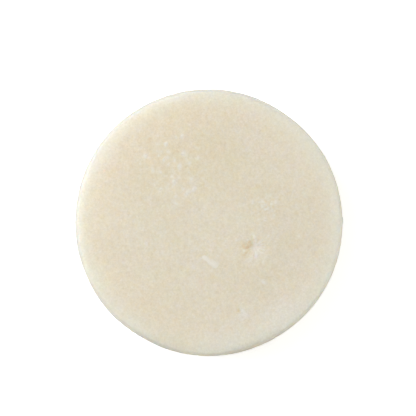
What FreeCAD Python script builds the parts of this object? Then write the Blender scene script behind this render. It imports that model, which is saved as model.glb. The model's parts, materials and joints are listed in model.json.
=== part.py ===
"""A round puck of hard shaving soap, the refill size that drops into a shaving bowl.

The puck is one moulded disc of soap with rounded edges. Its upper face, which the brush works on, carries a
thumb dent, a pinhole, a thin flake of paler soap pressed into it and a scatter of small pale grains of harder
soap. The flake and the grains are the only bodies in it that are not the moulded soap itself, so each is a
solid of its own in a pocket of its own.

Frame: millimetres, origin at the centre of the underside, +Z up through the face the brush works on.
"""

import FreeCAD, Part
import math
import os

import Sketcher
from FreeCAD import Placement, Rotation, Vector

# Driving dimensions in millimetres, angles in degrees. Each becomes a cell of the sheet, under its own alias.
DIMENSIONS = {
    "puck_diameter": 70.0,
    "puck_height": 25.0,
    "face_round": 1.3,  # radius of the upper edge
    "base_round": 1.3,  # radius of the lower edge
    "dent_x": 11.4,
    "dent_y": -6.2,
    "dent_width": 5.2,
    "dent_depth": 0.55,
    "pinhole_x": 7.8,
    "pinhole_y": -23.0,
    "pinhole_width": 0.7,
    "pinhole_depth": 0.3,
    "flake_x": 0.15,
    "flake_y": -9.95,
    "flake_turn": -35.0,  # from +X to the flake's broad end, counter-clockwise
    "flake_span": 3.5,  # between the centres of its two round ends
    "flake_broad_radius": 0.9,
    "flake_narrow_radius": 0.5,
    "flake_thickness": 0.7,
    "flake_sunk": 0.6,  # how far it lies under the face
    "flake_edge_round": 0.12,
    "grain_radius": 0.5,
    "grain_sunk": 0.25,  # how far a grain's centre lies under the face
    "patch_x": -9.5,  # centre of the scatter of grains
    "patch_y": 14.5,
    "patch_radius": 8.5,
    "pair_x": -4.6,  # midpoint of the two grains that lie side by side
    "pair_y": 8.4,
    "pair_gap": 1.7,
    "pair_turn": 24.0,
}
PATCH_GRAINS = 12
GRAIN_SIZES = (1.0, 0.7, 0.85)  # shares of grain_radius, taken in turn
GOLDEN_ANGLE = 137.508  # degrees between one grain of the scatter and the next
SHEET = "dims"
SAME_PLACE = 1e-6
UP = Vector(0, 0, 1)


def make_sheet(doc):
    """The spreadsheet that holds every driving dimension."""
    sheet = doc.addObject("Spreadsheet::Sheet", SHEET)
    for row, (alias, value) in enumerate(DIMENSIONS.items(), start=1):
        sheet.set(f"A{row}", alias)
        sheet.set(f"B{row}", str(value))
        sheet.setAlias(f"B{row}", alias)
    doc.recompute()
    return sheet


def bind(feature, expressions):
    """Binds properties of a feature to the sheet. A name in braces, such as {puck_height}, is a cell's alias."""
    cells = {alias: f"{SHEET}.{alias}" for alias in DIMENSIONS}
    for name, expression in expressions.items():
        feature.setExpression(name, expression.format(**cells))


def attach_to_floor(body, feature):
    """Attaches a sketch or primitive to the body's own XY plane."""
    floor = next(f for f in body.Origin.OriginFeatures if f.Role == "XY_Plane")
    feature.AttachmentSupport = [(floor, "")]
    feature.MapMode = "FlatFace"
    return feature


def edges_at(shape, height):
    """The names of the edges that lie flat at a height."""
    boxes = [(f"Edge{i}", edge.BoundBox) for i, edge in enumerate(shape.Edges, start=1)]
    return [
        name
        for name, box in boxes
        if abs(box.ZMin - height) < SAME_PLACE and abs(box.ZMax - height) < SAME_PLACE
    ]


def round_edges(body, base, name, height, radius):
    """Rounds every edge of the body that lies flat at a height."""
    fillet = body.newObject("PartDesign::Fillet", name)
    fillet.Base = (base, edges_at(base.Shape, height))
    bind(fillet, {"Radius": radius})
    body.Document.recompute()
    return fillet


def must_cut(body, volume_before, name):
    """Stops the build if a feature that should cut the body left its volume as it was."""
    body.Document.recompute()
    if body.Shape.Volume > volume_before - SAME_PLACE:
        raise RuntimeError(f"{name} cuts nothing from {body.Label}")


# The moulded disc


def pad_disc(body, sheet):
    """A padded circle with both of its edges rounded."""
    outline = attach_to_floor(body, body.newObject("Sketcher::SketchObject", "disc_outline"))
    circle = outline.addGeometry(Part.Circle(Vector(), UP, sheet.puck_diameter / 2))
    outline.addConstraint(Sketcher.Constraint("Coincident", circle, 3, -1, 1))
    diameter = outline.addConstraint(Sketcher.Constraint("Diameter", circle, sheet.puck_diameter))
    outline.renameConstraint(diameter, "diameter")
    bind(outline, {"Constraints.diameter": "{puck_diameter}"})

    disc = body.newObject("PartDesign::Pad", "disc")
    disc.Profile = outline
    bind(disc, {"Length": "{puck_height}"})
    body.Document.recompute()
    rounded = round_edges(body, disc, "face_edge_round", sheet.puck_height, "{face_round}")
    round_edges(body, rounded, "base_edge_round", 0.0, "{base_round}")


def press_hollow(body, name):
    """A shallow round hollow in the face: a ball whose cap below the face has the hollow's width and depth."""
    before = body.Shape.Volume
    width, depth = f"{{{name}_width}}", f"{{{name}_depth}}"
    radius = f"(({width} / 2) ^ 2 + {depth} ^ 2) / (2 * {depth})"
    ball = attach_to_floor(body, body.newObject("PartDesign::SubtractiveSphere", name))
    bind(
        ball,
        {
            "Radius": radius,
            "AttachmentOffset.Base.x": f"{{{name}_x}}",
            "AttachmentOffset.Base.y": f"{{{name}_y}}",
            "AttachmentOffset.Base.z": f"{{puck_height}} - {depth} + {radius}",
        },
    )
    must_cut(body, before, name)


def cut_flake_seat(body, sheet):
    """The pocket in the face that the flake lies in, of the flake's own outline."""
    before = body.Shape.Volume
    outline = attach_to_floor(body, body.newObject("Sketcher::SketchObject", "seat_outline"))
    outline.AttachmentOffset = Placement(Vector(), Rotation(UP, sheet.flake_turn))
    bind(
        outline,
        {
            "AttachmentOffset.Base.x": "{flake_x}",
            "AttachmentOffset.Base.y": "{flake_y}",
            "AttachmentOffset.Base.z": "{puck_height}",
            "AttachmentOffset.Rotation.Angle": "{flake_turn}",
        },
    )
    draw_flake(outline, sheet)
    seat = body.newObject("PartDesign::Pocket", "flake_seat")
    seat.Profile = outline
    bind(seat, {"Length": "{flake_sunk}"})
    must_cut(body, before, seat.Name)


def make_blank(doc, sheet):
    """The moulded disc before the grains' pockets are cut in it."""
    body = doc.addObject("PartDesign::Body", "puck_blank")
    pad_disc(body, sheet)
    press_hollow(body, "dent")
    press_hollow(body, "pinhole")
    cut_flake_seat(body, sheet)
    return body


# The flake


def draw_flake(sketch, sheet):
    """The flake from above: a broad round end and a narrow one on the X axis, joined by two tangent lines."""
    span, broad, narrow = sheet.flake_span, sheet.flake_broad_radius, sheet.flake_narrow_radius
    lean = math.acos((broad - narrow) / span)  # where the tangent lines meet either end, from +X
    broad_centre, narrow_centre = Vector(span / 2, 0, 0), Vector(-span / 2, 0, 0)
    outward = Vector(math.cos(lean), math.sin(lean), 0)
    mirrored = Vector(outward.x, -outward.y, 0)

    def arc(centre, radius, start, end):
        return sketch.addGeometry(Part.ArcOfCircle(Part.Circle(centre, UP, radius), start, end))

    def line(start, end):
        return sketch.addGeometry(Part.LineSegment(start, end))

    broad_arc = arc(broad_centre, broad, -lean, lean)
    upper = line(broad_centre + outward * broad, narrow_centre + outward * narrow)
    narrow_arc = arc(narrow_centre, narrow, lean, 2 * math.pi - lean)
    lower = line(narrow_centre + mirrored * narrow, broad_centre + mirrored * broad)

    loop = (broad_arc, upper, narrow_arc, lower)
    for one, other in zip(loop, loop[1:] + loop[:1]):
        sketch.addConstraint(Sketcher.Constraint("Tangent", one, 2, other, 1))
    sketch.addConstraint(Sketcher.Constraint("PointOnObject", broad_arc, 3, -1))
    sketch.addConstraint(Sketcher.Constraint("Symmetric", broad_arc, 3, narrow_arc, 3, -1, 1))
    sizes = {
        "broad_radius": Sketcher.Constraint("Radius", broad_arc, broad),
        "narrow_radius": Sketcher.Constraint("Radius", narrow_arc, narrow),
        "span": Sketcher.Constraint("Distance", broad_arc, 3, narrow_arc, 3, span),
    }
    for name, constraint in sizes.items():
        sketch.renameConstraint(sketch.addConstraint(constraint), name)
        bind(sketch, {f"Constraints.{name}": f"{{flake_{name}}}"})


def make_flake(doc, sheet):
    """The thin flake of paler soap, partly sunk in the face, with its upper edge softened."""
    body = doc.addObject("PartDesign::Body", "pressed_flake")
    outline = attach_to_floor(body, body.newObject("Sketcher::SketchObject", "flake_outline"))
    draw_flake(outline, sheet)
    slab = body.newObject("PartDesign::Pad", "slab")
    slab.Profile = outline
    bind(slab, {"Length": "{flake_thickness}"})
    doc.recompute()
    round_edges(body, slab, "softened_edge", sheet.flake_thickness, "{flake_edge_round}")

    body.Placement = Placement(Vector(), Rotation(UP, sheet.flake_turn))
    bind(
        body,
        {
            "Placement.Base.x": "{flake_x}",
            "Placement.Base.y": "{flake_y}",
            "Placement.Base.z": "{puck_height} - {flake_sunk}",
            "Placement.Rotation.Angle": "{flake_turn}",
        },
    )
    return body


# The grains


def add_grain(doc, size, x, y):
    """One grain: a small ball with its centre a little under the face."""
    grain = doc.addObject("Part::Sphere", "grain")
    bind(
        grain,
        {
            "Radius": f"{{grain_radius}} * {size}",
            "Placement.Base.x": x,
            "Placement.Base.y": y,
            "Placement.Base.z": "{puck_height} - {grain_sunk}",
        },
    )
    return grain


def scatter_grains(doc):
    """Grains spread evenly over the patch, each turned by the golden angle from the one before."""
    grains = []
    for i in range(PATCH_GRAINS):
        reach = math.sqrt((i + 0.5) / PATCH_GRAINS)
        turn = math.radians(i * GOLDEN_ANGLE)
        x = f"{{patch_x}} + {{patch_radius}} * {reach * math.cos(turn):.6f}"
        y = f"{{patch_y}} + {{patch_radius}} * {reach * math.sin(turn):.6f}"
        grains.append(add_grain(doc, GRAIN_SIZES[i % len(GRAIN_SIZES)], x, y))
    return grains


def pair_grains(doc):
    """The two largest grains, side by side."""
    grains = []
    for side in (-1, 1):
        x = f"{{pair_x}} + {side} * {{pair_gap}} / 2 * cos({{pair_turn}})"
        y = f"{{pair_y}} + {side} * {{pair_gap}} / 2 * sin({{pair_turn}})"
        grains.append(add_grain(doc, max(GRAIN_SIZES), x, y))
    return grains


def make_grains(doc):
    """All the grains, as one group of separate solids."""
    group = doc.addObject("Part::Compound", "pale_grains")
    group.Links = scatter_grains(doc) + pair_grains(doc)
    return group


# The whole puck


def make_puck(doc, blank, grains):
    """The moulded disc with a pocket for each grain."""
    puck = doc.addObject("Part::Cut", "soap_puck")
    puck.Base = blank
    puck.Tool = grains
    return puck


def check_document(doc, sub_parts):
    """Stops the build if any object failed to recompute or a sub-part isn't made of valid solids."""
    failed = [o.Name for o in doc.Objects if {"Invalid", "Error"} & set(o.State)]
    if failed:
        raise RuntimeError(f"these objects failed to recompute: {failed}")
    for part in sub_parts:
        if part.Shape.isNull() or not part.Shape.isValid() or not part.Shape.Solids:
            raise RuntimeError(f"{part.Label} has no valid solid")


def main():
    doc = FreeCAD.newDocument("shaving_soap_puck")
    sheet = make_sheet(doc)
    flake = make_flake(doc, sheet)
    grains = make_grains(doc)
    puck = make_puck(doc, make_blank(doc, sheet), grains)
    doc.recompute()

    sub_parts = (puck, flake, grains)
    check_document(doc, sub_parts)
    os.makedirs("parts", exist_ok=True)
    for part in sub_parts:
        part.Shape.exportStep(f"parts/{part.Label}.step")
        print(f"{part.Label}: {len(part.Shape.Solids)} solids, {part.Shape.Volume:.2f} mm3")


main()
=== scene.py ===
"""The looks of a shaving soap puck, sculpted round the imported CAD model.

Three pieces stand for the three CAD nodes: the moulded disc of soap, the thin flake pressed into its upper
face and the pale grains scattered in it. Their places and sizes are read from the frame. Sculpting is done with
numpy in millimetres, and each finished mesh is in metres in the CAD's frame.
"""

import json
import math

import bmesh
import bpy
import numpy as np
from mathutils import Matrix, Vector


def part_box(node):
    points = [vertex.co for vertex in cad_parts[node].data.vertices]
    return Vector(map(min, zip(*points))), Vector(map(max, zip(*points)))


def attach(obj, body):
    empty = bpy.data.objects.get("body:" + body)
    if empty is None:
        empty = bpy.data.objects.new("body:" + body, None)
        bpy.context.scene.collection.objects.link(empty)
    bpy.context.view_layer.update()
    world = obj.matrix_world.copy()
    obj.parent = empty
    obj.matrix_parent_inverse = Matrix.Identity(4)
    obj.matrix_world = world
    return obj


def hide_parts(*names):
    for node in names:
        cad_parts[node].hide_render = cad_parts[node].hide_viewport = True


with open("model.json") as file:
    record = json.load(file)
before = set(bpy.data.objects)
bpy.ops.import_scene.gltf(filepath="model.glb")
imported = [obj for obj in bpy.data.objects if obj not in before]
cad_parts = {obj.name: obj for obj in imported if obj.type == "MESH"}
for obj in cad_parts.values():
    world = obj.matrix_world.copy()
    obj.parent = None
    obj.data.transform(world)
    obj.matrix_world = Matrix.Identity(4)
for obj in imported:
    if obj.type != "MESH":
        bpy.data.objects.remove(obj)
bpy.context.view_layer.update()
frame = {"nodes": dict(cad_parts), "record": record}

MM = 0.001  # one millimetre in the frame's metres
UP = np.array([0.0, 0.0, 1.0])
MERGE_GAP = 0.001 * MM  # corners of the CAD mesh nearer than this are one corner


# What the frame says


def solids(node):
    """The corners of each separate solid of a CAD node, as arrays in millimetres."""
    mesh = bmesh.new()
    mesh.from_mesh(frame["nodes"][node].data)
    bmesh.ops.remove_doubles(mesh, verts=mesh.verts, dist=MERGE_GAP)
    found = []
    for first in mesh.verts:
        if not first.tag:
            first.tag = True
            reached = [first]
            for corner in reached:
                beyond = [edge.other_vert(corner) for edge in corner.link_edges]
                for other in (c for c in beyond if not c.tag):
                    other.tag = True
                    reached.append(other)
            found.append(np.array([corner.co for corner in reached]) / MM)
    mesh.free()
    return found


def middle(points):
    """The middle of the box round some points."""
    return (points.min(axis=0) + points.max(axis=0)) / 2


def lowest_spot(points, taken):
    """Where the lowest point lies, as x and y, outside the round spots that are taken: (x, y, reach)."""
    for x, y, reach in taken:
        points = points[np.hypot(points[:, 0] - x, points[:, 1] - y) > reach]
    return points[points[:, 2].argmin(), :2]


rim_mount = next(m for m in frame["record"]["mounts"] if m["name"] == "rim")
RADIUS = rim_mount["dims"]["r_mm"]
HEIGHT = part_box("soap_puck")[1].z / MM
WALL_TOP = rim_mount["pos_m"][2] / MM + rim_mount["dims"]["length_mm"] / 2
WALL_FOOT = rim_mount["pos_m"][2] / MM - rim_mount["dims"]["length_mm"] / 2
FACE_ROUND = HEIGHT - WALL_TOP
GRAINS = [(*middle(p), np.ptp(p[:, 0]) / 2) for p in solids("pale_grains")]
FLAKE = solids("pressed_flake")[0]
FLAKE_CENTRE = middle(FLAKE)
PATCH = np.mean([g[:2] for g in GRAINS], axis=0)

GRAIN_POCKET, FLAKE_POCKET, DENT_REACH = 1.2, 3.0, 4.0  # how far each can reach from its middle
cad_puck = solids("soap_puck")[0]
cad_face = cad_puck[np.hypot(cad_puck[:, 0], cad_puck[:, 1]) < RADIUS - FACE_ROUND - 1]
cad_face = cad_face[cad_face[:, 2] > WALL_TOP]
taken = [(x, y, GRAIN_POCKET) for x, y, *_ in GRAINS] + [(*FLAKE_CENTRE[:2], FLAKE_POCKET)]
DENT = lowest_spot(cad_face, taken)
PINHOLE = lowest_spot(cad_face, taken + [(*DENT, DENT_REACH)])


# Noise and small shapes


def ripples(points, wavelength, seed, waves=48):
    """Smooth noise of about unit height at each point: a sum of waves in random directions."""
    rng = np.random.default_rng(seed)
    directions = rng.normal(size=(waves, points.shape[1]))
    directions /= np.linalg.norm(directions, axis=1, keepdims=True)
    pitch = 2 * np.pi / (wavelength * rng.uniform(0.7, 1.5, waves))
    phases = points @ (directions * pitch[:, None]).T + rng.uniform(0, 2 * np.pi, waves)
    return np.cos(phases).sum(axis=1) * math.sqrt(2 / waves)


def bell(distance, reach):
    """1 at no distance, falling smoothly to almost nothing at twice the reach."""
    return np.exp(-((distance / reach) ** 2))


def smooth_step(value, low, high):
    """0 below low, 1 above high, smooth in between."""
    t = np.clip((value - low) / (high - low), 0, 1)
    return t * t * (3 - 2 * t)


def turned(xy, centre, angle):
    """Points seen from a centre, along and across a direction at an angle in degrees."""
    a = math.radians(angle)
    away = xy - centre
    along = away[:, 0] * math.cos(a) + away[:, 1] * math.sin(a)
    across = away[:, 1] * math.cos(a) - away[:, 0] * math.sin(a)
    return along, across


def oval(xy, centre, angle, length, width):
    """A soft oval spot: 1 at its centre, with its half-length and half-width as its reach."""
    along, across = turned(xy, centre, angle)
    return np.exp(-((along / length) ** 2) - (across / width) ** 2)


def around(turn, azimuth, reach):
    """A soft sector: 1 at an azimuth in degrees, with its reach in degrees too."""
    gap = (np.degrees(turn) - azimuth + 180) % 360 - 180
    return bell(gap, reach)


def sectors(turn, table):
    """The sum of soft sectors, each a row of azimuth and reach in degrees, and its height."""
    return sum(height * around(turn, azimuth, reach) for azimuth, reach, height in table)


def towards(azimuth, height):
    """The direction at an azimuth from +X and a height above the horizon, both in degrees."""
    a, h = math.radians(azimuth), math.radians(height)
    return Vector((math.cos(h) * math.cos(a), math.cos(h) * math.sin(a), math.sin(h)))


def speckle(rng, xy, count, within, sizes, lift):
    """Small ovals strewn evenly over a round area of the face, given as (centre, reach)."""
    centre, reach = within
    total = np.zeros(len(xy))
    for _ in range(count):
        out, turn = reach * math.sqrt(rng.uniform()), rng.uniform(0, 2 * np.pi)
        spot = centre + out * np.array([math.cos(turn), math.sin(turn)])
        length, lean, share = rng.uniform(*sizes), rng.uniform(0, 180), rng.uniform(0.5, 1.0)
        near = np.abs(xy - spot).max(axis=1) < 3 * length
        total[near] += lift * share * oval(xy[near], spot, lean, length, length * rng.uniform(0.6, 1.0))
    return total


# The disc's mesh: a square core turned into a circle by rings, then the edge, the wall and the base

CELLS = 144  # along each side of the face's core, a quarter of the rings' length
FACE_RINGS = 42
BASE_RINGS = 12
CORE_SHARE = 0.56  # of the face's radius, half the width of its core
CORE_BULGE = 0.35  # how far the core's square is bent towards a circle
EDGE_POWER = 2.3  # 2 would be a plain arc; more eases the curve into the face and the wall
EDGE_SHARE = 0.1  # of the side's length, taken by each of its rounded edges
UPPER_RINGS, WALL_RINGS, LOWER_RINGS = 15, 50, 9
GATHER = 0.38  # how strongly the face's mesh is drawn together over the dent and the flake


def ring_angles(count):
    """Angles of the points of a ring, from the core's first corner."""
    return -0.75 * np.pi + np.arange(count) * 2 * np.pi / count


def disc(cells, rings, radius):
    """A flat disc as (points, quads, the indices of its rim), with its core's grid turned into circles."""
    steps = np.linspace(-1, 1, cells + 1)
    u, v = (a.ravel() for a in np.meshgrid(steps, steps))
    reach = np.maximum(np.abs(u), np.abs(v))
    bulge = 1 - CORE_BULGE * reach * (1 - reach / np.maximum(np.hypot(u, v), 1e-9))
    core = np.column_stack([u, v]) * (bulge * CORE_SHARE)[:, None]

    index = np.arange((cells + 1) ** 2).reshape(cells + 1, cells + 1)
    corners = [index[:-1, :-1], index[:-1, 1:], index[1:, 1:], index[1:, :-1]]
    quads = [np.stack(corners, axis=-1).reshape(-1, 4)]
    loop = np.concatenate([index[0, :-1], index[:-1, -1], index[-1, :0:-1], index[:0:-1, 0]])
    angles = ring_angles(len(loop))
    circle = np.column_stack([np.cos(angles), np.sin(angles)])
    points, start = [core], core[loop]
    for step in range(1, rings + 1):
        share = step / rings
        points.append(start * (1 - share) + circle * share)
        outer = np.arange(len(loop)) + index.size + (step - 1) * len(loop)
        quads.append(band(outer, loop))
        loop = outer
    return np.concatenate(points) * radius, np.concatenate(quads), loop


def band(outer, inner):
    """Quads between two rings of one length, facing away from what lies inside or above the inner ring."""
    return np.column_stack([inner, outer, np.roll(outer, -1), np.roll(inner, -1)])


def side_profile(stations):
    """Radius, height and outward normal down the disc's side, from the face's rim to the base's."""
    turn = np.linspace(0, np.pi / 2, 200)
    ease = 2 / EDGE_POWER
    out, drop = np.sin(turn) ** ease, np.cos(turn) ** ease
    radius = np.concatenate([RADIUS - FACE_ROUND * (1 - out), RADIUS - WALL_FOOT * (1 - out[::-1])])
    height = np.concatenate([HEIGHT - FACE_ROUND * (1 - drop), WALL_FOOT * (1 - drop[::-1])])
    length = np.concatenate([[0], np.cumsum(np.hypot(np.diff(radius), np.diff(height)))])
    at = stations * length[-1]
    out, up = np.interp(at, length, radius), np.interp(at, length, height)
    run = np.column_stack([np.gradient(out), np.gradient(up)])
    run /= np.linalg.norm(run, axis=1, keepdims=True)
    return out, up, -run[:, 1], run[:, 0]


def moulded_disc():
    """The disc before sculpting: its points, their outward normals, and its faces."""
    top_xy, top_quads, top_rim = disc(CELLS, FACE_RINGS, RADIUS - FACE_ROUND)
    for spot, reach in ((DENT, 4.9), (FLAKE_CENTRE[:2], 3.92)):
        away = top_xy - spot
        top_xy = top_xy - GATHER * away * bell(np.linalg.norm(away, axis=1), reach)[:, None]
    points = [np.column_stack([top_xy, np.full(len(top_xy), HEIGHT)])]
    normals = [np.tile(UP, (len(top_xy), 1))]
    faces = top_quads.tolist()

    upper = np.linspace(0, EDGE_SHARE, UPPER_RINGS)
    wall = np.linspace(EDGE_SHARE, 1 - EDGE_SHARE, WALL_RINGS)
    lower = np.linspace(1 - EDGE_SHARE, 1, LOWER_RINGS)
    stations = np.concatenate([upper[1:], wall[1:], lower[1:]])
    angles = ring_angles(4 * CELLS)
    outward = np.column_stack([np.cos(angles), np.sin(angles)])
    inner, first = top_rim, len(top_xy)
    for radius, height, out, up in zip(*side_profile(stations)):
        points.append(np.column_stack([outward * radius, np.full(len(angles), height)]))
        normals.append(np.column_stack([outward * out, np.full(len(angles), up)]))
        outer = np.arange(len(angles)) + first
        faces += band(outer, inner).tolist()
        inner, first = outer, first + len(angles)

    base_xy, base_quads, base_rim = disc(CELLS // 2, BASE_RINGS, RADIUS - WALL_FOOT - 0.5)
    points.append(np.column_stack([base_xy, np.zeros(len(base_xy))]))
    normals.append(np.tile(-UP, (len(base_xy), 1)))
    faces += (base_quads[:, ::-1] + first).tolist()
    rim = base_rim + first
    fine, between, last = inner[0::2], inner[1::2], np.roll(inner, -2)[0::2]
    faces += np.column_stack([fine, rim, np.roll(rim, -1), last, between]).tolist()
    return np.concatenate(points), np.concatenate(normals), faces


# The flake's outline


def flake_frame():
    """The flake's half-length and half-width, and its long axis's azimuth towards its broad end."""
    flat = FLAKE[:, :2] - FLAKE_CENTRE[:2]
    spread, axes = np.linalg.eigh(np.cov(flat.T))
    axis = axes[:, spread.argmax()]
    along = flat @ axis
    across = flat @ np.array([-axis[1], axis[0]])
    if np.abs(across[along < 0]).max() > np.abs(across[along > 0]).max():
        axis = -axis
    return np.ptp(along) / 2, np.ptp(across) / 2, math.degrees(math.atan2(axis[1], axis[0]))


FLAKE_LENGTH, FLAKE_WIDTH, FLAKE_TURN = flake_frame()
SEAT_DEPTH = 0.15  # of the hollow in the face under the flake


def flake_width(share):
    """Half the flake's width at a share of its half-length from its middle: two lobes and a waist."""
    taper = 0.72 + 0.27 * smooth_step(share, -0.5, 0.4)
    waist = 1 - 0.18 * bell(share + 0.12, 0.2)
    return FLAKE_WIDTH * taper * waist


# The sculpting of the puck, and the paleness painted on it, which holds painted light and painted shade as well
# as the soap's own tint: 1 more is from tan soap to pale, greyer soap

BURR = DENT + [0.4, 2.6]
CHIP = DENT + [2.9, -9.4]
SCUFF = DENT + [2.9, 10.4]  # the middle of a roughened patch
# Marks in the face: place, lean in degrees, half-length, half-width, lift and paleness
MARKS = [
    (BURR, 106, 0.85, 0.32, 0.09, 1.2),  # a short raised streak above the dent
    (BURR + [-0.75, -0.2], 100, 0.9, 0.3, 0.0, -0.4),  # and the tan line beside it
    # The pinhole and the chip's hollow are painted dark: painted shade in them
    (PINHOLE, 0, 0.38, 0.34, -0.4, -0.6),
    (PINHOLE + [1.45, -0.1], 80, 1.3, 1.0, 0.03, 0.42),  # the pinhole's pale lip
    (CHIP, -45, 0.8, 0.35, 0.06, 0.9),  # a pale chip below the dent
    (CHIP + [1.3, 1.2], 35, 0.7, 0.5, -0.08, -0.4),  # and the hollow it left
    (PATCH + [0.1, -9.0], -30, 0.9, 0.3, 0.0, 0.6),  # a faint pale scratch below the grains
]
# Broad blotches in the face, partly the soap's own tint and partly painted light and shade: azimuth, share of
# the radius, lean, half-length, half-width and paleness
# The thin tan bands just inside the rim are painted shade, and the broad tan at the top and upper left is the
# lamp's warmth painted on
BLOTCHES_AND_PAINTED_LIGHT = [
    (310, 0.86, 40, 7.0, 4.0, 0.40),
    (291, 0.74, 20, 2.4, 1.7, 0.22),
    (277, 0.86, 5, 9.0, 4.0, 0.26),
    (290, 0.95, 20, 9.0, 1.6, -0.36),
    (96, 0.88, 6, 11.0, 4.0, -0.12),
    (252, 0.945, 162, 10.0, 1.9, -0.52),
    (215, 0.965, 125, 8.0, 1.4, -0.24),
    (60, 0.965, 150, 8.0, 1.3, -0.26),
    (30, 0.955, 120, 8.0, 1.6, -0.13),
    (78, 0.955, 168, 8.0, 1.6, -0.12),
    (332, 0.955, 62, 9.0, 1.6, -0.15),
    (262, 0.955, 172, 9.0, 1.5, -0.16),
    (27, 0.50, 20, 5.0, 4.0, -0.12),
    (90, 0.08, 0, 5.0, 4.0, 0.12),
    (328, 0.86, 60, 4.0, 2.2, 0.14),
    (15, 0.70, 90, 11.0, 4.0, 0.08),
    (285, 0.30, 0, 18.0, 9.0, 0.02),
    (105, 0.54, 0, 13.0, 9.5, -0.27),
    (150, 0.62, 60, 9.0, 7.0, -0.14),
    (155, 0.91, 65, 9.0, 3.0, 0.20),
    (238, 0.74, 0, 5.0, 4.0, -0.09),
]


def dent_shape(xy):
    """The thumb dent's lift and paleness: a tan left side, painted shade on the wall turned from the lamp, and
    pale flutes fanning out on its right, painted light on the wall facing it.
    """
    away = xy - DENT
    distance, turn = np.hypot(*away.T), np.arctan2(away[:, 1], away[:, 0])
    right = (1 + np.cos(turn + 0.45)) / 2
    ragged = 1 + 0.1 * np.cos(5 * turn + 1) + 0.07 * np.cos(9 * turn)
    share = distance / (1.7 + 1.1 * right) / ragged
    hollow = -0.34 * np.clip(1 - share**2, 0, None) ** 1.5
    brim = 0.05 * bell(share - 1.1, 0.22)
    from_foot = xy - (DENT + [0.5, -0.1])
    reach, bearing = np.hypot(*from_foot.T), np.arctan2(from_foot[:, 1], from_foot[:, 0])
    fan = np.cos(15 * bearing + 2.5 * np.sin(3 * bearing)) * right * bell(reach - 1.8, 1.2)

    # The left wall's tan is painted shade
    shaded_side = oval(xy, DENT + [-1.5, -0.4], 68, 2.7, 0.95)
    shaded_side += 0.7 * oval(xy, DENT + [-2.2, 0.2], 10, 1.3, 0.9)
    shaded_side = np.minimum(shaded_side, 1) * (1 + 0.25 * ripples(xy, 1.0, seed=16))
    # The pale right side is painted light
    pale = oval(xy, DENT + [1.2, -1.2], -65, 2.8, 2.1)
    pale += 0.9 * oval(xy, DENT + [1.05, -1.1], 100, 1.1, 0.5)
    smear = oval(xy, DENT + [-0.6, -3.4], 35, 1.2, 0.6)
    crumb = oval(xy, DENT + [-2.2, -1.0], 0, 0.5, 0.38)
    # The fan's paleness is painted light on its ridges and painted shade between them
    paleness = 0.44 * pale + 0.45 * fan - 0.72 * shaded_side + 1.1 * crumb + 0.4 * smear
    return hollow + brim + 0.035 * fan + 0.05 * crumb, paleness


def face_shape(xy):
    """The face's lift and paleness, all but its edge."""
    rng = np.random.default_rng(11)
    whole = (np.zeros(2), RADIUS - 1.5)
    swell = 0.045 * ripples(xy, 24, seed=1)
    grit = 0.014 * ripples(xy, 3.2, seed=2) + 0.007 * ripples(xy, 1.2, seed=3)
    pits = speckle(rng, xy, 150, whole, (0.25, 0.55), -0.06)
    bumps = speckle(rng, xy, 110, whole, (0.25, 0.6), 0.035)
    lift = swell + grit + pits + bumps
    # Pits are painted darker and bumps paler: painted shade in the pits and painted light on the bumps
    pale = 2.0 * (pits + bumps)

    scuff = oval(xy, SCUFF, 15, 4.2, 2.8) * ripples(xy, 0.9, seed=4)
    lift += 0.028 * scuff
    # 0.2 of the ripples is painted light on their rises and painted shade in their dips
    pale += 0.2 * scuff + speckle(rng, xy, 34, (SCUFF, 3.8), (0.25, 0.42), 0.65)

    dent_lift, dent_pale = dent_shape(xy)
    lift += dent_lift
    pale += dent_pale
    for place, lean, length, width, rise, paleness in MARKS:
        mark = oval(xy, place, lean, length, width)
        lift += rise * mark
        pale += paleness * mark

    for x, y, _, radius in GRAINS:
        pale += 0.85 * oval(xy, np.array([x, y]), 75, 1.5 * radius, 1.05 * radius)
    pale += speckle(rng, xy, 60, (PATCH + [-1.0, 1.0], 9.0), (0.28, 0.55), 0.7)
    pale += speckle(rng, xy, 220, whole, (0.2, 0.45), 0.42)
    pale -= speckle(rng, xy, 200, whole, (0.25, 0.55), 0.30)
    for azimuth, share, lean, length, width, paleness in BLOTCHES_AND_PAINTED_LIGHT:
        spot = np.array(towards(azimuth, 0)[:2]) * share * RADIUS
        pale += paleness * oval(xy, spot, lean, length, width)
    return lift, pale


def press_seat(xy):
    """How far the face is pressed down under the flake."""
    along, across = turned(xy, FLAKE_CENTRE[:2], FLAKE_TURN)
    share = along / FLAKE_LENGTH
    inside = 1 - share**2 - (across / flake_width(share)) ** 2
    return SEAT_DEPTH * smooth_step(inside, 0.6, 0.95)


# Sectors round the disc: azimuth and reach in degrees, and millimetres, or paleness for the tint and painted
# shade of the edge
WORN = [(293, 18, 0.42), (248, 14, 0.24), (222, 20, 0.12)]  # worn off the upper edge
SLOPE = [(125, 55, 0.46)]  # the fall of the face towards its rim
LEAN = [(142, 22, 0.2), (5, 10, 0.03), (55, 20, -0.18), (243, 12, -0.13), (305, 18, -0.11)]  # out of round
EDGE_TINT_AND_SHADE = [(280, 40, 0.2)]  # how much more tan the lower, worn edge is: its tint, and painted shade where it turns from the light
EVEN_WEAR = 0.03  # all round the upper edge


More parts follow.
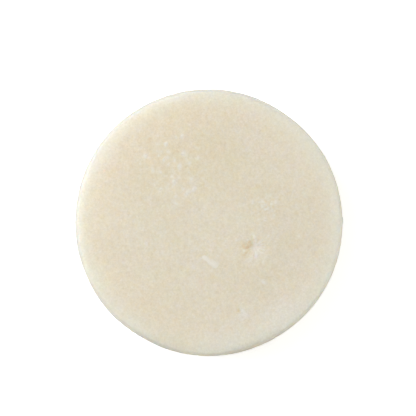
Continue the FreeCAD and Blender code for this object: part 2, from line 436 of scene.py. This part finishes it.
def edge_shape(points, turn):
    """How far each point is worn away: the upper edge, the slope inside it, and the nicks in it."""
    out = np.hypot(points[:, 0], points[:, 1])
    near_top = smooth_step(points[:, 2], HEIGHT - 3.0, HEIGHT - 0.3)
    edge = smooth_step(out, RADIUS - 2.4, RADIUS - 0.1) * near_top
    ragged = 1 + 0.14 * ripples(points, 2.4, seed=5) + 0.06 * ripples(points, 0.8, seed=6)
    wear = sectors(turn, WORN) + EVEN_WEAR
    slope = sectors(turn, SLOPE) * smooth_step(out, RADIUS - 13.0, RADIUS - 0.5) * near_top
    nicks = np.zeros(len(points))
    rng = np.random.default_rng(12)
    for _ in range(60):
        at, depth, reach = rng.uniform(0, 2 * np.pi), rng.uniform(0.03, 0.12), rng.uniform(0.25, 0.6)
        spot = np.array([math.cos(at), math.sin(at), 0]) * (RADIUS - 0.3)
        spot += UP * (HEIGHT - rng.uniform(0, 0.8))
        nicks += depth * bell(np.linalg.norm(points - spot, axis=1), reach)
    return wear * edge * np.clip(ragged, 0.2, None) + slope + nicks


def outline_shape(points, turn):
    """How far the wall stands out from a true circle: a little out of round, with a raised seam at +X."""
    from_top = smooth_step(points[:, 2], 0, HEIGHT)
    seam_foot = smooth_step(points[:, 1], -0.2, 0.1)
    seam = seam_foot * (1 - smooth_step(points[:, 1], 0.5, 2.0)) * (points[:, 0] > 0)
    return sectors(turn, LEAN) * (0.4 + 0.6 * from_top) + 0.2 * seam * from_top


def wall_shape(points, turn):
    """The wall's fine relief: faint upright drag marks from the mould, swells, small pits and bumps."""
    unrolled = np.column_stack([points[:, :2], 0.1 * points[:, 2]])
    drag = 0.016 * ripples(unrolled, 1.1, seed=7) + 0.01 * ripples(unrolled, 3.0, seed=8)
    lift = drag + 0.03 * ripples(points, 9, seed=9) + 0.006 * ripples(points, 1.3, seed=10)
    rng = np.random.default_rng(13)
    for _ in range(220):
        at, height = rng.uniform(0, 2 * np.pi), rng.uniform(1.5, HEIGHT - 1.5)
        reach, rise = rng.uniform(0.3, 0.7), rng.choice([-0.14, -0.05, 0.05, 0.09])
        spot = np.array([math.cos(at) * RADIUS, math.sin(at) * RADIUS, height])
        lift += rise * bell(np.linalg.norm(points - spot, axis=1), reach)
    return lift


def base_shape(xy):
    """How far the underside is hollowed: a shallow dish with a few swells, inside a flat rim it stands on."""
    inside = 1 - smooth_step(np.hypot(*xy.T), 0.72 * RADIUS, 0.93 * RADIUS)
    return inside * (0.22 + 0.05 * ripples(xy, 14, seed=14) + 0.02 * ripples(xy, 3, seed=15))


WALL_RELIEF_SHADING = 5.0  # paleness for each millimetre of the wall's relief: painted light on its rises and painted shade in its pits


def sculpt_puck():
    """The puck's points and faces, and how pale each point is."""
    points, normals, faces = moulded_disc()
    xy = points[:, :2]
    out = np.hypot(*xy.T)
    turn = np.arctan2(points[:, 1], points[:, 0])
    outward = np.column_stack([xy / np.maximum(out, 1e-6)[:, None], np.zeros(len(xy))])
    on_face = smooth_step(normals[:, 2], 0.3, 0.95)
    on_wall = 1 - np.abs(normals[:, 2])
    on_base = smooth_step(-normals[:, 2], 0.3, 0.95)

    face_lift, pale = face_shape(xy)
    wall_lift = wall_shape(points, turn)
    lift = (face_lift - press_seat(xy)) * on_face + wall_lift * on_wall
    lift -= edge_shape(points, turn)
    sculpted = points + normals * lift[:, None]
    sculpted += outward * (outline_shape(points, turn) * smooth_step(out, 0.8 * RADIUS, RADIUS))[:, None]
    sculpted[:, 2] = np.maximum(sculpted[:, 2] + on_base * base_shape(xy), 0)

    near_edge = smooth_step(out, RADIUS - 1.5, RADIUS - 0.4)
    near_edge *= smooth_step(points[:, 2], HEIGHT - 5, HEIGHT - 2)
    # Paler on the wall's rises, darker in its pits and more tan along the lower edge: painted light and painted
    # shade
    paleness = pale * on_face + WALL_RELIEF_SHADING * wall_lift * on_wall - sectors(turn, EDGE_TINT_AND_SHADE) * near_edge
    return sculpted, faces, paleness


# The flake and the grains


def ball(finish):
    """A ball of unit radius as (points, faces), from an icosphere of this many steps."""
    mesh = bmesh.new()
    bmesh.ops.create_icosphere(mesh, subdivisions=finish, radius=1)
    points = np.array([corner.co for corner in mesh.verts])
    faces = [[corner.index for corner in face.verts] for face in mesh.faces]
    mesh.free()
    return points, faces


BURIED = 0.15  # of a crumb's height, how far its widest line lies under the face, which hides that line


def lie_in_face(xy, rise, depth, above):
    """Heights of a crumb's points, from about rise over the face at 1 above to about depth under it at -1."""
    above = above - BURIED
    face_height = HEIGHT + face_shape(xy)[0]
    return face_height + np.where(above > 0, rise * above, depth * above)


def make_flake():
    """The flake: a thin two-lobed crumb of soap, nearly level with the face and worn round its edge."""
    unit, faces = ball(5)
    rough = 1 + 0.09 * ripples(unit, 0.8, seed=21) + 0.05 * ripples(unit, 0.35, seed=22)
    share = unit[:, 0]
    blunt = (1 - np.abs(share) ** 3) ** (1 / 3) / np.sqrt(np.maximum(1 - share**2, 1e-6))
    along = FLAKE_LENGTH * share * (0.97 + 0.03 * rough)
    across = flake_width(share) * unit[:, 1] * np.minimum(blunt, 2) * rough
    a = math.radians(FLAKE_TURN)
    x = FLAKE_CENTRE[0] + along * math.cos(a) - across * math.sin(a)
    y = FLAKE_CENTRE[1] + along * math.sin(a) + across * math.cos(a)
    xy = np.column_stack([x, y])
    above = np.sign(unit[:, 2]) * np.abs(unit[:, 2]) ** 0.9
    above *= 1 + 0.15 * ripples(unit, 0.5, seed=23)
    return np.column_stack([xy, lie_in_face(xy, 0.13, SEAT_DEPTH + 0.04, above)]), faces


def make_grains():
    """The grains: small uneven crumbs, each in the place of its CAD ball, low and worn on top."""
    unit, faces = ball(3)
    points, all_faces = [], []
    for i, (x, y, _, radius) in enumerate(GRAINS):
        lumps = 1.12 + 0.1 * ripples(unit, 1.1, seed=30 + i) + 0.05 * ripples(unit, 0.4, seed=60 + i)
        crumb = unit * np.clip(lumps, 0.9, 1.3)[:, None]
        xy = crumb[:, :2] * radius + [x, y]
        above = crumb[:, 2] * np.abs(crumb[:, 2])
        points.append(np.column_stack([xy, lie_in_face(xy, 0.08, 0.35, above)]))
        all_faces += [[c + i * len(unit) for c in face] for face in faces]
    return np.concatenate(points), all_faces


def make_piece(name, points, faces, material, slot, node):
    """A smooth mesh piece from points in millimetres, standing for a CAD node."""
    mesh = bpy.data.meshes.new(name)
    mesh.from_pydata((np.asarray(points) * MM).tolist(), [], faces)
    mesh.shade_smooth()
    piece = bpy.data.objects.new(name, mesh)
    bpy.context.scene.collection.objects.link(piece)
    mesh.materials.append(material)
    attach(piece, "root")
    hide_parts(node)
    return piece


# Shader nodes


def add(tree, kind, inputs=None, **settings):
    """Adds a shader node. Its inputs, by name or number, get a value or another node's socket."""
    node = tree.nodes.new("ShaderNode" + kind)
    for name, value in settings.items():
        setattr(node, name, value)
    for key, value in (inputs or {}).items():
        if isinstance(value, bpy.types.NodeSocket):
            tree.links.new(value, node.inputs[key])
        else:
            node.inputs[key].default_value = value
    return node


def calc(tree, operation, *values):
    """A Math node's result."""
    return add(tree, "Math", dict(enumerate(values)), operation=operation).outputs[0]


def total(tree, *values):
    """The sum of several values."""
    result = values[0]
    for value in values[1:]:
        result = calc(tree, "ADD", result, value)
    return result


def remap(tree, value, low, high, to_low=0.0, to_high=1.0):
    """A value between low and high, eased into the range from to_low to to_high."""
    inputs = {"Value": value, "From Min": low, "From Max": high, "To Min": to_low, "To Max": to_high}
    return add(tree, "MapRange", inputs, interpolation_type="SMOOTHSTEP").outputs["Result"]


def noise(tree, place, size, strength, seed, detail=1.0):
    """Noise round 0 with features of a size in millimetres. Its strength is about its highest value."""
    inputs = {"Vector": place, "W": seed, "Scale": 1 / size, "Detail": detail, "Roughness": 0.6}
    grey = add(tree, "TexNoise", inputs, noise_dimensions="4D").outputs["Fac"]
    return calc(tree, "MULTIPLY", calc(tree, "SUBTRACT", grey, 0.5), 2 * strength)


def mix(tree, share, one, other):
    """A mix of two colours, which goes on past either of them where the share is under 0 or over 1."""
    node = add(tree, "Mix", {"Factor": share}, data_type="RGBA", clamp_factor=False)
    for socket, colour in ((node.inputs[6], one), (node.inputs[7], other)):
        if isinstance(colour, bpy.types.NodeSocket):
            tree.links.new(colour, socket)
        else:
            socket.default_value = (*colour, 1)
    return node.outputs[2]


def new_material(name):
    """An empty node material, its tree and its Principled shader."""
    material = bpy.data.materials.new(name)
    material.use_nodes = True
    return material, material.node_tree, material.node_tree.nodes["Principled BSDF"]


def place_in_mm(tree):
    """Where a point of the piece is, in millimetres."""
    place = add(tree, "TexCoord").outputs["Object"]
    return add(tree, "VectorMath", {0: place, "Scale": 1 / MM}, operation="SCALE").outputs["Vector"]


# The soap

TAN = (0.666, 0.595, 0.437)
PALE = (0.709, 0.679, 0.606)
RIM_GREY = (0.649, 0.679, 0.658)  # greyer, paler soap towards the rim and the top
SHADE_TAN = (0.662, 0.553, 0.400)  # the darkest tan, mostly painted shade in the dent and the hollows
EVEN_SOAP = 0.53  # the paleness of plain soap, from 0 for tan to 1 for pale
MOTTLING = [(14, 0.12), (4.5, 0.10), (1.6, 0.23), (0.6, 0.58)]  # sizes in millimetres, and strengths
CHALKY_FROM, CHALKY = 0.9, 0.12  # soap paler than this gets lighter by this much for each 1 more: chalky crumbs and specks, and the painted light in the dent
SCATTER, SCATTER_MM = (1.0, 0.74, 0.45), 12.5  # how far red, green and blue light spreads in the soap
CRUMB_DARK, CRUMB_LIGHT = (0.664, 0.616, 0.508), (0.738, 0.714, 0.650)


def soap_material():
    """Hard ivory soap: tan and pale mottling from blotches down to fine grit, and a satin skin."""
    material, tree, shader = new_material("ivory_soap")
    place = place_in_mm(tree)
    painted = add(tree, "Attribute", attribute_name="paleness").outputs["Fac"]

    layers = [noise(tree, place, *layer, seed) for seed, layer in enumerate(MOTTLING, start=1)]
    paleness = total(tree, EVEN_SOAP, *layers, painted)
    ivory = mix(tree, calc(tree, "MINIMUM", paleness, 1.0), TAN, PALE)
    # The darkest paleness, mostly painted shade, goes on towards the deepest tan
    ivory = mix(tree, remap(tree, paleness, 0.15, -0.25), ivory, SHADE_TAN)

    flat_place = add(tree, "VectorMath", {0: place, 1: (1, 1, 0)}, operation="MULTIPLY").outputs["Vector"]
    out = add(tree, "VectorMath", {0: flat_place}, operation="LENGTH").outputs["Value"]
    height = add(tree, "SeparateXYZ", {0: place}).outputs["Z"]
    near_rim = remap(tree, out, 0.8 * RADIUS, RADIUS, 0.0, 0.5)
    near_top = remap(tree, height, HEIGHT - 7, HEIGHT - 2, 0.3, 1.0)
    rim_grey_share = calc(tree, "MULTIPLY", near_rim, near_top)
    colour = mix(tree, rim_grey_share, ivory, RIM_GREY)

    fine = noise(tree, place, 0.4, 0.13, seed=5)
    broad = noise(tree, place, 1.3, 0.03, seed=6)
    excess = calc(tree, "MAXIMUM", calc(tree, "SUBTRACT", paleness, CHALKY_FROM), 0.0)
    value = total(tree, 1.0, fine, broad, calc(tree, "MULTIPLY", excess, CHALKY))
    bright = add(tree, "VectorMath", {0: colour, "Scale": value}, operation="SCALE").outputs["Vector"]
    tree.links.new(bright, shader.inputs["Base Color"])

    finest = calc(tree, "MULTIPLY", layers[-1], 0.1)
    roughness = total(tree, 0.52, noise(tree, place, 2.5, 0.2, seed=7), finest)
    tree.links.new(roughness, shader.inputs["Roughness"])

    relief = total(tree, noise(tree, place, 0.9, 0.6, seed=8), noise(tree, place, 0.35, 0.35, seed=9))
    bump = add(tree, "Bump", {"Height": relief, "Distance": 0.03 * MM, "Strength": 1.0})
    tree.links.new(bump.outputs["Normal"], shader.inputs["Normal"])
    shader.inputs["Subsurface Weight"].default_value = 1.0
    shader.inputs["Subsurface Scale"].default_value = SCATTER_MM * MM
    shader.inputs["Subsurface Radius"].default_value = SCATTER
    return material


def crumb_material():
    """The paler soap of the flake and the grains: nearly even, chalky and a little rougher."""
    material, tree, shader = new_material("pale_soap")
    place = place_in_mm(tree)
    coarse, fine = noise(tree, place, 0.7, 0.4, seed=11), noise(tree, place, 0.25, 0.3, seed=12)
    colour = mix(tree, total(tree, 0.62, coarse, fine), CRUMB_DARK, CRUMB_LIGHT)
    tree.links.new(colour, shader.inputs["Base Color"])
    roughness = total(tree, 0.6, noise(tree, place, 0.5, 0.15, seed=13))
    tree.links.new(roughness, shader.inputs["Roughness"])
    relief = noise(tree, place, 0.3, 0.6, seed=14)
    bump = add(tree, "Bump", {"Height": relief, "Distance": 0.02 * MM, "Strength": 1.0})
    tree.links.new(bump.outputs["Normal"], shader.inputs["Normal"])
    return material


pale_soap = crumb_material()
puck_points, puck_faces, puck_paleness = sculpt_puck()
puck = make_piece("moulded_soap", puck_points, puck_faces, soap_material(), "soap", "soap_puck")
puck.data.attributes.new("paleness", "FLOAT", "POINT").data.foreach_set("value", puck_paleness)
flake = make_piece("soap_flake", *make_flake(), pale_soap, "pale_soap", "pressed_flake")
grains = make_piece("soap_grains", *make_grains(), pale_soap, "pale_soap", "pale_grains")
# They are thin soap, which lets light through to the puck under it
flake.visible_shadow = grains.visible_shadow = False


# The stage: a light tent, a pale floor, a soft key light and a camera straight above

ZENITH, ZENITH_EDGE = 1.80, 0.85  # the tent's brightness overhead, and the height where it starts
ZENITH_COLOUR = (1.0, 0.985, 0.905)  # a little warm
FILL, FILL_AZIMUTH, FILL_HEIGHT = 1.15, -5, 18  # the low side panel's brightness and its direction in degrees
TENT = 0.03  # the brightness of the rest of the tent
KEY_AZIMUTH, KEY_HEIGHT, KEY_DISTANCE = 152, 46, 0.6  # degrees, degrees and metres
KEY_POWER, KEY_SIZE, KEY_COLOUR = 2.72, 0.4, (1.0, 1.0, 1.045)  # watts, metres
FLOOR_SIZE, FLOOR_GREY, FLOOR_ROUGHNESS, FLOOR_GLOW = 6, 0.9, 0.9, 0.5
LENS, SENSOR = 200, 36  # millimetres
PUCK_SHARE = 0.6438  # of the picture's width
SHIFT = (-0.0020, 0.0354)  # of the camera's view, in picture widths


def make_world():
    """The light tent: bright overhead, with one low bright side panel. The camera sees it as plain white."""
    world = bpy.data.worlds.new("light_tent")
    world.use_nodes = True
    tree = world.node_tree
    direction = add(tree, "TexCoord").outputs["Generated"]
    height = add(tree, "SeparateXYZ", {0: direction}).outputs["Z"]
    overhead = remap(tree, height, ZENITH_EDGE - 0.05, ZENITH_EDGE + 0.05, TENT, ZENITH)
    fill_way = towards(FILL_AZIMUTH, FILL_HEIGHT)
    dot = add(tree, "VectorMath", {0: direction, 1: fill_way}, operation="DOT_PRODUCT").outputs["Value"]
    panel = calc(tree, "MULTIPLY", remap(tree, dot, 0.5, 0.98), remap(tree, height, 0.6, 0.5))
    lit = total(tree, overhead, calc(tree, "MULTIPLY", panel, FILL))
    seen = add(tree, "LightPath").outputs["Is Camera Ray"]
    strength = calc(tree, "MAXIMUM", lit, seen)
    tree.links.new(strength, tree.nodes["Background"].inputs["Strength"])
    colour = mix(tree, remap(tree, height, 0.6, 0.8), (1, 1, 1), ZENITH_COLOUR)
    tree.links.new(colour, tree.nodes["Background"].inputs["Color"])
    return world


def make_floor():
    """A pale floor. To the camera it also glows a little, as a back-lit table does."""
    bpy.ops.mesh.primitive_plane_add(size=FLOOR_SIZE)
    floor = bpy.context.object
    floor.name = "floor"
    material, tree, shader = new_material("white_floor")
    shader.inputs["Base Color"].default_value = (FLOOR_GREY,) * 3 + (1,)
    shader.inputs["Roughness"].default_value = FLOOR_ROUGHNESS
    shader.inputs["Emission Color"].default_value = (1, 1, 1, 1)
    seen = add(tree, "LightPath").outputs["Is Camera Ray"]
    tree.links.new(calc(tree, "MULTIPLY", seen, FLOOR_GLOW), shader.inputs["Emission Strength"])
    floor.data.materials.append(material)


def make_key():
    """A soft lamp at the upper left."""
    key = bpy.data.lights.new("key", "AREA")
    key.size = KEY_SIZE
    key.energy = KEY_POWER
    key.color = KEY_COLOUR
    lamp = bpy.data.objects.new("key", key)
    lamp.location = towards(KEY_AZIMUTH, KEY_HEIGHT) * KEY_DISTANCE
    lamp.rotation_euler = lamp.location.to_track_quat("Z", "Y").to_euler()
    lamp.visible_camera = False
    bpy.context.scene.collection.objects.link(lamp)


def make_camera():
    """A long lens straight above the puck, which fills PUCK_SHARE of the picture's width."""
    camera = bpy.data.cameras.new("camera")
    camera.sensor_width = SENSOR
    camera.lens = LENS
    camera.shift_x, camera.shift_y = SHIFT
    eye = bpy.data.objects.new("camera", camera)
    widest = 2 * RADIUS * MM
    eye.location.z = WALL_TOP * MM + widest / PUCK_SHARE * LENS / SENSOR
    bpy.context.scene.collection.objects.link(eye)
    bpy.context.scene.camera = eye


bpy.context.scene.view_settings.view_transform = "Standard"
bpy.context.scene.world = make_world()
make_floor()
make_key()
make_camera()
